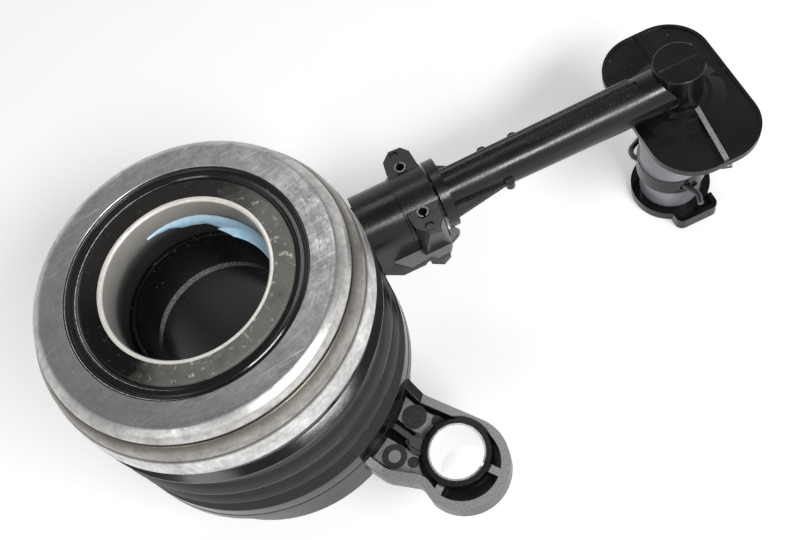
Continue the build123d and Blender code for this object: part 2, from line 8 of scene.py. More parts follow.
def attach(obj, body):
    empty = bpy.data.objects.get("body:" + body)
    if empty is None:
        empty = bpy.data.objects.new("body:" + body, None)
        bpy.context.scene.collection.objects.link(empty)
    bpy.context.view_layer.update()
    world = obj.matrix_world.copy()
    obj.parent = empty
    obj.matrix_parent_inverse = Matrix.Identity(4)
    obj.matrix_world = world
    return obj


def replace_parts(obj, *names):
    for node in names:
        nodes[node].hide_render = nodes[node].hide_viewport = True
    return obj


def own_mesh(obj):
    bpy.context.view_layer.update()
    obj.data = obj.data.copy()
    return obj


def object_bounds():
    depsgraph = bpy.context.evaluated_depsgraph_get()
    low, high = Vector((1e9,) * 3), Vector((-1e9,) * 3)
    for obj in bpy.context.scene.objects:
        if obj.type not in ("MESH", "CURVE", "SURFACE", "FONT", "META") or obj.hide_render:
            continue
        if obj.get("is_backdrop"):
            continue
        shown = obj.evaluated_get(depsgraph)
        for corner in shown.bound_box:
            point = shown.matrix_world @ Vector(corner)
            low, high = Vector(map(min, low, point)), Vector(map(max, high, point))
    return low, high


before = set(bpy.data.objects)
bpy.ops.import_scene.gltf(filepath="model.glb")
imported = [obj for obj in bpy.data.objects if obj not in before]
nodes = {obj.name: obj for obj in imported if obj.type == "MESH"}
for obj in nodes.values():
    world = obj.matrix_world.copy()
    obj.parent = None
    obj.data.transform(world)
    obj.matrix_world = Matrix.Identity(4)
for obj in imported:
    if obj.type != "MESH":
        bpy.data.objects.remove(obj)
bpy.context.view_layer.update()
mm = 0.001
print("frame loaded,", len(nodes), "nodes")


# materials: every finish is built from the same few shader steps

# empty material with one Principled shader, its plain sockets filled from the look
def newMaterial(name, look):
    material = bpy.data.materials.new(name)
    material.use_nodes = True
    tree = material.node_tree
    shader = tree.nodes["Principled BSDF"]
    shader.inputs["Base Color"].default_value = (*look["colour"], 1)
    shader.inputs["Metallic"].default_value = look.get("metal", 0)
    shader.inputs["Roughness"].default_value = look["rough"]
    shader.inputs["Specular IOR Level"].default_value = look.get("specular", 0.5)
    return material, tree, shader


def link(tree, source, target):
    tree.links.new(source, target)


# object coordinates for the textures to sit on, turned and then drawn out
def place(tree, stretch=(1, 1, 1), turn=(0, 0, 0)):
    coords = tree.nodes.new("ShaderNodeTexCoord")
    mapping = tree.nodes.new("ShaderNodeMapping")
    mapping.vector_type = "TEXTURE"
    mapping.inputs["Scale"].default_value = stretch
    mapping.inputs["Rotation"].default_value = turn
    link(tree, coords.outputs["Object"], mapping.inputs["Vector"])
    return mapping.outputs["Vector"]


# noise whose spots are about size metres across
def noise(tree, vector, size, detail=3, rough=0.6):
    texture = tree.nodes.new("ShaderNodeTexNoise")
    texture.inputs["Scale"].default_value = 1 / size
    texture.inputs["Detail"].default_value = detail
    texture.inputs["Roughness"].default_value = rough
    link(tree, vector, texture.inputs["Vector"])
    return texture.outputs["Fac"]


# colour ramp from (position, colour) stops
def ramp(tree, factor, stops):
    node = tree.nodes.new("ShaderNodeValToRGB")
    cells = node.color_ramp.elements
    while len(cells) < len(stops):
        cells.new(0.5)
    for cell, (spot, colour) in zip(cells, stops):
        cell.position = spot
        cell.color = (*colour, 1)
    link(tree, factor, node.inputs["Fac"])
    return node.outputs["Color"]


# maps a value from low..high to first..last, clamped
def span(tree, value, low, high, first=0.0, last=1.0):
    node = tree.nodes.new("ShaderNodeMapRange")
    for socket, number in zip(("From Min", "From Max", "To Min", "To Max"), (low, high, first, last)):
        node.inputs[socket].default_value = number
    link(tree, value, node.inputs["Value"])
    return node.outputs["Result"]


# one math step on two sockets or numbers
def calc(tree, kind, first, second):
    node = tree.nodes.new("ShaderNodeMath")
    node.operation = kind
    for socket, value in zip(node.inputs, (first, second)):
        if isinstance(value, (int, float)):
            socket.default_value = value
        else:
            link(tree, value, socket)
    return node.outputs[0]


def times(tree, first, second):
    return calc(tree, "MULTIPLY", first, second)


def plus(tree, first, second):
    return calc(tree, "ADD", first, second)


def higher(tree, first, second):
    return calc(tree, "MAXIMUM", first, second)


# colour mix of two sockets or colours
def mixed(tree, factor, first, second):
    node = tree.nodes.new("ShaderNodeMix")
    node.data_type = "RGBA"
    for socket, value in ((node.inputs[6], first), (node.inputs[7], second)):
        if isinstance(value, tuple):
            socket.default_value = (*value, 1)
        else:
            link(tree, value, socket)
    link(tree, factor, node.inputs[0])
    return node.outputs[2]


def scaled(colour, share):
    return tuple(share * part for part in colour)


# bump of depth metres, on edges rounded by edge metres
def bump(tree, shader, height, depth, strength=1.0, edge=0.0):
    node = tree.nodes.new("ShaderNodeBump")
    node.inputs["Strength"].default_value = strength
    node.inputs["Distance"].default_value = depth
    link(tree, height, node.inputs["Height"])
    if edge:
        rounding = tree.nodes.new("ShaderNodeBevel")
        rounding.samples = 4
        rounding.inputs["Radius"].default_value = edge
        link(tree, rounding.outputs["Normal"], node.inputs["Normal"])
    link(tree, node.outputs["Normal"], shader.inputs["Normal"])


# object coordinates, with the radius from Z, the turn about Z (-0.5 to 0.5) and the height
def polar(tree):
    coords = tree.nodes.new("ShaderNodeTexCoord")
    split = tree.nodes.new("ShaderNodeSeparateXYZ")
    link(tree, coords.outputs["Object"], split.inputs[0])
    x, y, z = split.outputs
    square = plus(tree, times(tree, x, x), times(tree, y, y))
    return {
        "vector": coords.outputs["Object"],
        "radius": calc(tree, "SQRT", square, 0),
        "turn": calc(tree, "DIVIDE", calc(tree, "ARCTAN2", y, x), 2 * math.pi),
        "height": z,
    }


# small specks scattered over a surface, as a 0 to 1 factor: share is how many of the cells have one
def dustSpecks(tree, vector, size, share):
    texture = tree.nodes.new("ShaderNodeTexVoronoi")
    texture.inputs["Scale"].default_value = 1 / size
    texture.inputs["Randomness"].default_value = 1
    link(tree, vector, texture.inputs["Vector"])
    near = span(tree, texture.outputs["Distance"], 0.05, 0.16, 1, 0)
    chosen = span(tree, texture.outputs["Color"], 1 - share, 1 - share + 0.01)
    return times(tree, near, chosen)


# 1 where a value lies between low and high, with soft ends
def between(tree, value, low, high, soft):
    rise = span(tree, value, low - soft, low)
    fall = span(tree, value, high, high + soft, 1, 0)
    return times(tree, rise, fall)


# how much a surface faces straight up, inside a band of heights in millimetres
def upFacing(tree, height, low, high):
    normal = tree.nodes.new("ShaderNodeTexCoord").outputs["Normal"]
    split = tree.nodes.new("ShaderNodeSeparateXYZ")
    link(tree, normal, split.inputs[0])
    level = span(tree, split.outputs[2], 0.93, 0.985)
    return times(tree, level, between(tree, height, low * mm, high * mm, 0.05 * mm))


# 1 further than radius millimetres from the upright line through x, y
def beyond(tree, vector, x, y, radius):
    flat = tree.nodes.new("ShaderNodeVectorMath")
    flat.operation = "MULTIPLY"
    flat.inputs[1].default_value = (1, 1, 0)
    link(tree, vector, flat.inputs[0])
    gap = tree.nodes.new("ShaderNodeVectorMath")
    gap.operation = "DISTANCE"
    gap.inputs[1].default_value = (x * mm, y * mm, 0)
    link(tree, flat.outputs[0], gap.inputs[0])
    return span(tree, gap.outputs["Value"], radius * mm, (radius + 0.2) * mm)


# in every look the sizes are millimetres, and a share runs from 0 to 1
mouldedLook = {
    "colour": (0.0032, 0.0034, 0.0038),
    "rough": 0.27,
    "specular": 0.38,
    "cloud": 8.0,                            # patches of duller and brighter gloss
    "grain": 0.36,
    "grainDepth": 0.012,
    "edge": 0.22,                            # how far the edges look rounded
    "dust": (0.20, 0.205, 0.21),
    "dustSize": 1.5,
    "dustShare": 0.13,
    "topHighlight": (0.33, 0.34, 0.345),
    "fleck": 0.2,
    "topHighlightBands": ((10.0, 10.6, 1.0), (11.5, 12.88, 0.3), (12.95, 13.4, 1.0)),    # from, to, and how pale
    "plain": ((28.0, -33.0, 6.9), (-28.0, 33.0, 6.9)),      # x, y and radius of the circles left without the painted highlight
    "sheenBands": (),                        # heights given a painted sheen of satin grey
    "sheen": (0.30, 0.31, 0.34),
}


# glass-filled moulded plastic: fine grain, cloudy gloss, pale dust, a grainy painted highlight on the level
# tops, and bands of painted sheen by height
def mouldedPlastic(name, look):
    material, tree, shader = newMaterial(name, look)
    spot = polar(tree)
    vector = spot["vector"]
    height = spot["height"]
    cloud = noise(tree, vector, look["cloud"] * mm, 4)
    grain = noise(tree, vector, look["grain"] * mm, 3, 0.75)
    fine = noise(tree, vector, look["fleck"] * mm, 2, 0.6)
    specks = dustSpecks(tree, vector, look["dustSize"] * mm, look["dustShare"])
    tone = mixed(tree, span(tree, cloud, 0.35, 0.7), look["colour"], scaled(look["colour"], 1.8))
    tone = mixed(tree, times(tree, specks, 0.6), tone, look["dust"])
    flecks = span(tree, fine, 0.40, 0.62)
    away = [beyond(tree, vector, *circle) for circle in look["plain"]]
    # painted highlight: up-facing tops in these height bands turned pale and grainy, standing in for the
    # glint of an overhead lamp
    for low, high, pale in look["topHighlightBands"]:
        level = upFacing(tree, height, low, high)
        for clear in away:
            level = times(tree, level, clear)
        litTop = mixed(tree, flecks, scaled(look["topHighlight"], 0.5 * pale), scaled(look["topHighlight"], pale))
        tone = mixed(tree, level, tone, litTop)
    # painted sheen: bands by height turned satin grey, standing in for reflections on glossy plastic
    for low, high in look["sheenBands"]:
        band = between(tree, height, low * mm, high * mm, 0.3 * mm)
        paintedSheen = times(tree, band, span(tree, cloud, 0.2, 0.7, 0.6, 1))
        tone = mixed(tree, paintedSheen, tone, look["sheen"])
    link(tree, tone, shader.inputs["Base Color"])
    gloss = span(tree, cloud, 0.3, 0.7, look["rough"] - 0.05, look["rough"] + 0.06)
    link(tree, plus(tree, gloss, span(tree, grain, 0.3, 0.7, -0.05, 0.05)), shader.inputs["Roughness"])
    bump(tree, shader, grain, look["grainDepth"] * mm, 0.9, look["edge"] * mm)
    return material


rubberLook = {
    "colour": (0.004, 0.004, 0.0043),
    "rough": 0.30,
    "specular": 0.22,
    "dust": (0.03, 0.031, 0.032),
    "bloom": 0.4,                            # how much of the dust shows
    "bloomSize": 3.0,
    "grain": 0.5,
    "grainDepth": 0.012,
    "speck": (0.25, 0.25, 0.25),
    "speckSize": 1.3,
    "speckShare": 0.10,
    "lipHighlights": (),                              # radii of the painted highlight lines
    "lipHalf": 0.04,
    "lipHighlightTone": (0.5, 0.51, 0.53),
}


# smooth dark rubber with a faint dusty bloom, a few pale specks and, on the seal, painted highlight lines
# along its lips
def blackRubber(name, look):
    material, tree, shader = newMaterial(name, look)
    spot = polar(tree)
    vector = spot["vector"]
    bloom = noise(tree, vector, look["bloomSize"] * mm, 5, 0.7)
    fine = noise(tree, vector, look["grain"] * mm, 3)
    specks = dustSpecks(tree, vector, look["speckSize"] * mm, look["speckShare"])
    tone = mixed(tree, span(tree, bloom, 0.5, 0.8, 0, look["bloom"]), look["colour"], look["dust"])
    tone = mixed(tree, times(tree, specks, 0.5), tone, look["speck"])
    half = look["lipHalf"]
    # painted highlight: pale lines at the lips' radii, only on two sides of the ring
    for lip in look["lipHighlights"]:
        band = between(tree, spot["radius"], (lip - half) * mm, (lip + half) * mm, 0.03 * mm)
        line = times(tree, band, span(tree, fine, 0.35, 0.6, 0.3, 1))
        farSide = span(tree, spot["turn"], 0.22, 0.30)
        nearSide = span(tree, spot["turn"], -0.36, -0.28, 1, 0)
        tone = mixed(tree, times(tree, line, higher(tree, farSide, nearSide)), tone, look["lipHighlightTone"])
    link(tree, tone, shader.inputs["Base Color"])
    gloss = span(tree, bloom, 0.3, 0.7, look["rough"] - 0.04, look["rough"] + 0.06)
    link(tree, gloss, shader.inputs["Roughness"])
    bump(tree, shader, fine, look["grainDepth"] * mm, 0.6)
    return material


steelLook = {
    "colour": (0.60, 0.60, 0.61),
    "metal": 1,
    "rough": 0.3,
    "streak": 0.25,
    "patch": 6.0,
    "mottle": 1.1,
    "dirt": (0.10, 0.092, 0.08),
    "dirtShare": 0.3,
    "scratches": (),                         # lean in radians, width, and the noise level where they start
    "scratchShare": 0.5,
    "scratchTone": (0.85, 0.85, 0.86),
    "specks": 0.0,
    "speckSize": 1.2,
    "speckTone": (0.8, 0.79, 0.74),
    "relief": 0.008,
}
crossScratches = ((-1.22, 0.20, 0.62), (-1.45, 0.26, 0.64), (0.3, 0.22, 0.68))


# turned steel: streaks round the axis, cross scratches, patches of grime, and bands of tone by height
def turnedSteel(name, look):
    material, tree, shader = newMaterial(name, look)
    spot = polar(tree)
    vector = spot["vector"]
    height = spot["height"]
    lines = tree.nodes.new("ShaderNodeCombineXYZ")
    link(tree, spot["radius"], lines.inputs[0])
    link(tree, times(tree, spot["turn"], 0.004), lines.inputs[1])
    link(tree, height, lines.inputs[2])
    streaks = noise(tree, lines.outputs[0], look["streak"] * mm, 2, 0.7)
    patch = noise(tree, vector, look["patch"] * mm, 6, 0.68)
    mottle = noise(tree, vector, look["mottle"] * mm, 4, 0.7)
    if "bands" in look:
        low, high = look["bandRange"]
        cells = [((z - low) / (high - low), colour) for z, colour in look["bands"]]
        base = ramp(tree, span(tree, height, low * mm, high * mm), cells)
    else:
        base = mixed(tree, span(tree, streaks, 0.3, 0.7), scaled(look["colour"], 0.85), look["colour"])
    shade = plus(tree, times(tree, patch, 0.7), times(tree, mottle, 0.45))
    grime = times(tree, span(tree, shade, 0.42, 0.76), look["dirtShare"])
    tone = mixed(tree, grime, base, look["dirt"])
    marks = streaks
    for lean, thin, low in look["scratches"]:
        scratch = noise(tree, place(tree, (1, 45, 1), (0, 0, lean)), thin * mm, 2, 0.6)
        shown = span(tree, scratch, low, low + 0.12, 0, look["scratchShare"])
        tone = mixed(tree, shown, tone, look["scratchTone"])
        marks = plus(tree, marks, scratch)
    if look["specks"]:
        specks = dustSpecks(tree, vector, look["speckSize"] * mm, 0.22)
        tone = mixed(tree, times(tree, specks, look["specks"]), tone, look["speckTone"])
    link(tree, tone, shader.inputs["Base Color"])
    gloss = span(tree, streaks, 0.3, 0.7, look["rough"] - 0.05, look["rough"] + 0.08)
    link(tree, plus(tree, gloss, times(tree, grime, 0.3)), shader.inputs["Roughness"])
    bump(tree, shader, marks, look["relief"] * mm, 0.5)
    return material


oiledLook = {
    "colour": (0.005, 0.0047, 0.0045),
    "rough": 0.22,
    "specular": 0.14,
    "cloud": 5.0,
    "cloudDepth": 0.03,
    "oil": (0.035, 0.031, 0.028),
    # grey of the painted reflection on one side of the ring
    "film": (0.13, 0.127, 0.113),
    "blob": 1.3,
    "speckSize": 0.9,
    "speckTone": (0.50, 0.51, 0.44),
}


# inner ring's steel: oily brown-black, grey on one side as a painted reflection, with pale grease specks and
# blobs mostly on that side
def oiledSteel(name, look):
    material, tree, shader = newMaterial(name, look)
    spot = polar(tree)
    vector = spot["vector"]
    turn = spot["turn"]
    cloud = noise(tree, vector, look["cloud"] * mm, 6, 0.7)
    side = span(tree, plus(tree, between(tree, turn, -0.30, 0.04, 0.16), cloud), 0.9, 1.5)
    top = between(tree, turn, 0.10, 0.40, 0.10)
    tone = mixed(tree, times(tree, top, 0.5), look["colour"], look["oil"])
    # painted reflection: one side of the ring turned grey
    tone = mixed(tree, side, tone, look["film"])
    blobs = span(tree, noise(tree, vector, look["blob"] * mm, 3, 0.65), 0.60, 0.70)
    specks = higher(tree, dustSpecks(tree, vector, look["speckSize"] * mm, 0.30), blobs)
    share = plus(tree, times(tree, side, 0.75), 0.05)
    tone = mixed(tree, times(tree, specks, share), tone, look["speckTone"])
    link(tree, tone, shader.inputs["Base Color"])
    link(tree, span(tree, side, 0, 1, look["rough"], look["rough"] + 0.2), shader.inputs["Roughness"])
    bump(tree, shader, cloud, look["cloudDepth"] * mm, 0.5)
    return material


boreLook = {
    "colour": (0.004, 0.004, 0.0043),
    "rough": 0.22,
    "specular": 0.15,
    "grain": 0.3,
    "grainDepth": 0.02,
    "ring": (33.2, 34.6),                    # heights of the grainy pale ring
    "dustSize": 0.9,
    "dustHeights": (12, 40),                 # the dust gets thicker from the first to the second
    "lip": (43.6, 46.6),                     # heights of the sparkling lip
    "sparkle": 0.5,
    "pale": (0.45, 0.45, 0.45),
}


# dark guide tube: black gloss, dusty specks, a sparkling lip and a grainy pale ring part of the way down
def tubeBlack(name, look):
    material, tree, shader = newMaterial(name, look)
    spot = polar(tree)
    vector = spot["vector"]
    height = spot["height"]
    grain = noise(tree, vector, look["grain"] * mm, 3, 0.8)
    low, high = look["ring"]
    ring = between(tree, height, low * mm, high * mm, 0.25 * mm)
    ring = times(tree, ring, between(tree, spot["turn"], 0.16, 0.42, 0.07))
    ring = times(tree, ring, span(tree, grain, 0.35, 0.65))
    low, high = look["dustHeights"]
    dust = dustSpecks(tree, vector, look["dustSize"] * mm, 0.16)
    dusty = times(tree, dust, span(tree, height, low * mm, high * mm, 0.25, 0.8))
    low, high = look["lip"]
    lip = between(tree, height, low * mm, high * mm, 0.2 * mm)
    sparkle = times(tree, dustSpecks(tree, vector, look["sparkle"] * mm, 0.4), lip)
    pale = higher(tree, higher(tree, times(tree, ring, 0.8), dusty), sparkle)
    link(tree, mixed(tree, pale, look["colour"], look["pale"]), shader.inputs["Base Color"])
    gloss = span(tree, grain, 0.3, 0.7, look["rough"] - 0.06, look["rough"] + 0.1)
    link(tree, gloss, shader.inputs["Roughness"])
    bump(tree, shader, grain, look["grainDepth"] * mm, 0.5)
    return material


# soft even colour with a slight cloud, for the grease and the mould marks
def plainSoft(name, look):
    material, tree, shader = newMaterial(name, look)
    cloud = noise(tree, place(tree), look["cloud"] * mm, 3, 0.6)
    tone = mixed(tree, span(tree, cloud, 0.3, 0.7), look["colour"], look["second"])
    link(tree, tone, shader.inputs["Base Color"])
    bump(tree, shader, cloud, look["depth"] * mm, 0.8)
    return material


print("material steps ready")

# plastic of the feed line, with the painted highlight on the top of its near rib
lineLook = {
    **mouldedLook, "rough": 0.26, "grain": 0.42, "grainDepth": 0.014, "edge": 0.15,
    "plain": ((101.4, 16.4, 5.6),), "topHighlightBands": ((14.4, 14.6, 1.0),),
}
railLook = {**mouldedLook, "grainDepth": 0.002, "edge": 0, "dustShare": 0, "topHighlightBands": ()}
glossyLook = {
    **mouldedLook, "colour": (0.003, 0.003, 0.0034), "rough": 0.14, "specular": 0.32,
    "grainDepth": 0.003, "dustShare": 0.05, "topHighlightBands": (),
}
# the connector's neck and foot carry the painted sheen
socketLook = {**glossyLook, "sheenBands": ((-8.6, 13.0), (-21.0, -14.0))}
bootLook = {**rubberLook, "rough": 0.17, "specular": 0.5, "bloom": 0.3}
bearingSealLook = {
    **rubberLook, "colour": (0.003, 0.003, 0.003), "rough": 0.14, "specular": 0.45,
    "bloom": 0.1, "lipHighlights": (19.5, 21.2),
}

# tones of the bearing's outside by height, in millimetres, with painted light among them
shellLook = {
    **steelLook, "specks": 0.5, "dirtShare": 0.6, "patch": 3.5, "bandRange": (43.5, 55.5),
    "bands": (
        # bright lower band: painted reflection
        (43.6, (0.80, 0.80, 0.79)),
        (48.0, (0.84, 0.84, 0.83)),
        # dark fine line: painted shade
        (48.5, (0.12, 0.11, 0.10)),
        (48.9, (0.46, 0.45, 0.42)),
        (50.6, (0.40, 0.38, 0.35)),
        # dark groove under the shoulder: painted shade
        (51.9, (0.16, 0.145, 0.125)),
        (52.4, (0.20, 0.185, 0.16)),
        # bright shoulder: painted highlight
        (53.0, (0.66, 0.65, 0.63)),
        (54.4, (0.62, 0.62, 0.61)),
        (54.93, (0.46, 0.46, 0.46)),
        (55.0, (0.42, 0.425, 0.42)),
    ),
}
faceLook = {**shellLook, "scratches": crossScratches}
# tones of the sleeve by height: a pale top edge, and painted shade darkening the wall further down the bore
sleeveLook = {
    **steelLook, "metal": 0.4, "rough": 0.32, "dirtShare": 0.2, "bandRange": (37.0, 56.0),
    "bands": (
        (38.0, (0.02, 0.02, 0.02)),
        (47.5, (0.03, 0.03, 0.031)),
        (49.0, (0.10, 0.10, 0.10)),
        (50.4, (0.40, 0.39, 0.36)),
        (54.4, (0.66, 0.63, 0.57)),
        (54.8, (0.82, 0.80, 0.73)),
    ),
}
boltLook = {**steelLook, "colour": (0.93, 0.93, 0.94), "rough": 0.16, "dirtShare": 0.05}
pinLook = {**steelLook, "colour": (0.62, 0.62, 0.62)}
rollPinLook = {**steelLook, "colour": (0.24, 0.24, 0.245), "rough": 0.35}
clipLook = {**steelLook, "colour": (0.13, 0.13, 0.135), "rough": 0.28}
greaseLook = {
    "colour": (0.40, 0.70, 0.95), "second": (0.62, 0.84, 0.98), "rough": 0.32, "cloud": 1.2, "depth": 0.15,
}
darkMarkLook = {
    "colour": (0.022, 0.023, 0.025), "second": (0.055, 0.057, 0.06), "rough": 0.5, "specular": 0.3,
    "cloud": 0.35, "depth": 0.05,
}
paleMarkLook = {**darkMarkLook, "colour": (0.20, 0.205, 0.21), "second": (0.30, 0.305, 0.31)}

finishes = {
    "housing": mouldedPlastic("housingPlastic", mouldedLook),
    "line": mouldedPlastic("linePlastic", lineLook),
    "rail": mouldedPlastic("railPlastic", railLook),
    "connector": mouldedPlastic("connectorPlastic", glossyLook),
    "socket": mouldedPlastic("socketPlastic", socketLook),
    "rubber": blackRubber("sealRubber", rubberLook),
    "boot": blackRubber("bootRubber", bootLook),
    "bearingSeal": blackRubber("bearingSealRubber", bearingSealLook),
    "face": turnedSteel("faceSteel", faceLook),
    "shell": turnedSteel("shellSteel", shellLook),
    "innerRing": oiledSteel("innerRingSteel", oiledLook),
    "sleeve": turnedSteel("sleeveSteel", sleeveLook),
    "guide": tubeBlack("guideBlack", boreLook),
    "bolt": turnedSteel("boltSleeveSteel", boltLook),
    "pin": turnedSteel("pinSteel", pinLook),
    "rollPin": turnedSteel("rollPinSteel", rollPinLook),
    "clip": turnedSteel("clipSteel", clipLook),
    "grease": plainSoft("blueGrease", greaseLook),
    "darkMark": plainSoft("darkMark", darkMarkLook),
    "paleMark": plainSoft("paleMark", paleMarkLook),
}
finishOfNode = {
    "housing": "housing",
    "guide_tube": "guide",
    "ear_sleeves": "bolt",
    "foot_seal": "rubber",
    "hydraulic_tube": "line",
    "spigot_seal": "rubber",
    "roll_pins": "rollPin",
    "connector_body": "socket",
    "connector_seal": "rubber",
    "dust_plug": "connector",
    "wire_clip": "clip",
    "piston": "housing",
    "piston_seal": "rubber",
    "thrust_sleeve": "sleeve",
    "spring_seat": "pin",
    "preload_spring": "pin",
    "boot": "boot",
    "bearing_inner_ring": "innerRing",
    "bearing_outer_ring": "face",
    "bearing_shell": "shell",
    "front_seal": "bearingSeal",
    "rear_seal": "bearingSeal",
    "ball_cage": "housing",
    "bearing_balls": "pin",
}


# give a CAD node its finish in every slot it has
def dressNode(node, finish):
    piece = nodes[node]
    if not piece.material_slots:
        piece.data.materials.append(finishes[finish])
    for cell in piece.material_slots:
        cell.material = finishes[finish]


for node, finish in finishOfNode.items():
    dressNode(node, finish)
print("nodes dressed")


# turned pieces: each is one closed outline of (radius, height) corners in millimetres, swept round Z,
# and a corner's third number, where it has one, is how much it is rounded

# link a mesh as a named piece that rides on a body and takes its finish from a slot
def addPiece(name, mesh, finish, body):
    piece = bpy.data.objects.new(name, mesh)
    bpy.context.scene.collection.objects.link(piece)
    mesh.materials.append(finishes[finish])
    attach(piece, body)
    return piece


# the outline with its rounded corners drawn as short curves
def roundCorners(outline, steps=4):
    corners = [Vector(corner[:2]) for corner in outline]
    points = []
    for index, here in enumerate(corners):
        rounding = outline[index][2] if len(outline[index]) > 2 else 0
        if not rounding:
            points.append(here)
            continue
        before = corners[index - 1] - here
        after = corners[(index + 1) % len(corners)] - here
        half = before.angle(after) / 2
        reach = min(rounding / math.tan(half), 0.49 * before.length, 0.49 * after.length)
        start = here + before.normalized() * reach
        finish = here + after.normalized() * reach
        for step in range(steps + 1):
            share = step / steps
            first = start.lerp(here, share)
            second = here.lerp(finish, share)
            points.append(first.lerp(second, share))
    return points


# outward faces, smooth except where two faces meet at more than smooth degrees
def tidyNormals(mesh, smooth):
    work = bmesh.new()
    work.from_mesh(mesh)
    bmesh.ops.recalc_face_normals(work, faces=work.faces)
    for face in work.faces:
        face.smooth = True
    for edge in work.edges:
        if len(edge.link_faces) == 2:
            edge.smooth = edge.calc_face_angle(0) < math.radians(smooth)
    work.to_mesh(mesh)
    work.free()


# corners given as (outward, up, rounding) from one base corner
def cornersFrom(radius, height, steps):
    return [(radius + outward, height + up, rounding) for outward, up, rounding in steps]


def makeMesh(name, vertices, faces, smooth):
    mesh = bpy.data.meshes.new(name)
    mesh.from_pydata(vertices, [], faces)
    mesh.validate()
    tidyNormals(mesh, smooth)
    return mesh


# mesh of revolution from an outline
def lathe(name, outline, around=180, smooth=32):
    points = roundCorners(outline)
    count = len(points)
    vertices = []
    faces = []
    for ring in range(around):
        angle = 2 * math.pi * ring / around
        for radius, height in points:
            vertices.append((radius * mm * math.cos(angle), radius * mm * math.sin(angle), height * mm))
        after = (ring + 1) % around
        for spot in range(count):
            ahead = (spot + 1) % count
            here = ring * count
            there = after * count
            faces.append((here + spot, there + spot, there + ahead, here + ahead))
    return makeMesh(name, vertices, faces, smooth)


bearing = {                                  # what neighbouring rings share
    "top": 55.0,
    "ringBase": 44.8,
    "shoulder": 27.8,
    "stepDrop": 2.9,                         # from the top down to where the shell's lip ends
    "faceInner": 21.45,
    "innerOuter": 18.9,
    "sleeveOuter": 15.35,
}
pressureRing = {
    "neckIn": 0.1,
    "shoulderDrop": 2.2,
    "slopeIn": 0.5,
    "slopeDrop": 0.95,
    "crown": 25.9,
    "crownDrop": 0.05,
    "flatIn": 0.9,
    "chamfer": 0.07,
    "rounds": (0.6, 1.2, 1.4),
}


# pressure ring that the clutch's fingers press on
def makePressureRing(shared, size):
    top = shared["top"]
    neck = shared["shoulder"] - size["neckIn"]
    low, middle, high = size["rounds"]
    outline = [
        (shared["faceInner"], shared["ringBase"]),
        (neck, shared["ringBase"]),
        (neck, top - shared["stepDrop"]),
        (shared["shoulder"], top - size["shoulderDrop"], low),
        (shared["shoulder"] - size["slopeIn"], top - size["slopeDrop"], middle),
        (size["crown"], top - size["crownDrop"], high),
        (size["crown"] - size["flatIn"], top),
        (shared["faceInner"] + size["chamfer"], top),
        (shared["faceInner"], top - size["chamfer"]),
    ]
    mesh = lathe("pressureRing", outline)
    ring = addPiece("pressureRing", mesh, "face", "bearing_outer")
    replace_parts(ring, "bearing_outer_ring")


# steps are corners from a base corner: outward, up and rounding
pressedShell = {
    "bandRadius": 30.0,
    "bandWall": 1.2,
    "bandBase": 43.7,
    "footInner": (0.15, 0.1),                # chamfers of the foot: across and up
    "footOuter": (0.12, 0.2),
    "bandTop": 29.55,
    "lineDrop": 6.4,                         # from the top down to the fine line over the band
    "lineSteps": ((0.02, -0.5, 0.5), (-0.3, 0, 0.3)),
    "rollOuter": 29.15,
    "rollDrop": 5.2,
    "rollSteps": ((0, -0.5, 0.6), (-0.05, 0.4, 0.9), (-0.55, 1.35, 1.0)),
    "groove": 27.55,
    "lipSteps": ((0.5, -0.1, 0.4), (0.25, 0, 0)),
}


# pressed shell round the bearing: band, fine line, roll and the lip under the ring's shoulder
def makePressedShell(shared, size):
    top = shared["top"]
    inside = size["bandRadius"] - size["bandWall"]
    innerAcross, innerUp = size["footInner"]
    outerAcross, outerUp = size["footOuter"]
    outline = [
        (shared["shoulder"], shared["ringBase"]),
        (inside, shared["ringBase"]),
        (inside, size["bandBase"] + innerUp),
        (inside + innerAcross, size["bandBase"]),
        (size["bandRadius"] - outerAcross, size["bandBase"]),
        (size["bandRadius"], size["bandBase"] + outerUp),
    ]
    outline += cornersFrom(size["bandTop"], top - size["lineDrop"], size["lineSteps"])
    outline += cornersFrom(size["rollOuter"], top - size["rollDrop"], size["rollSteps"])
    outline += cornersFrom(size["groove"], top - shared["stepDrop"], size["lipSteps"])
    band = addPiece("bearingShell", lathe("bearingShell", outline), "shell", "bearing_outer")
    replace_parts(band, "bearing_shell")


frontSeal = {
    "gap": 0.1,                              # between the seal and the inner ring
    "base": 1.45,
    "outerDrop": 0.28,
    "outerBead": ((-0.35, -0.2, 0.15), (-0.55, -0.5, 0.12), (-0.8, -0.62, 0.12), (-1.05, -0.4, 0.12)),
    "innerBead": ((0.75, -0.36, 0.12), (0.45, -0.62, 0.1), (0.2, -0.5, 0), (0, -0.55, 0)),
}


# front seal with a bead at each edge
def makeFrontSeal(shared, size):
    top = shared["top"]
    lip = shared["innerOuter"] + size["gap"]
    edge = shared["faceInner"]
    outline = [(lip, top - size["base"]), (edge, top - size["base"]), (edge, top - size["outerDrop"])]
    outline += cornersFrom(edge, top, size["outerBead"])
    outline += cornersFrom(lip, top, size["innerBead"])
    mesh = lathe("frontSealLip", outline)
    seal = addPiece("frontSealLip", mesh, "bearingSeal", "bearing_outer")
    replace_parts(seal, "front_seal")


innerParts = {
    "seatTop": 43.2,
    "ringChamfer": 0.35,
    "ringRound": 0.3,
    "sleeveInner": 14.5,
    "sleeveBase": 38.0,
    "sleeveEdge": (0.15, 0.05),              # chamfer of the outer edge: across and down
    "sleeveLead": (0.3, 0.4),                # rounded lead into the bore: across and down
    "leadRounds": (0.25, 0.3),
}


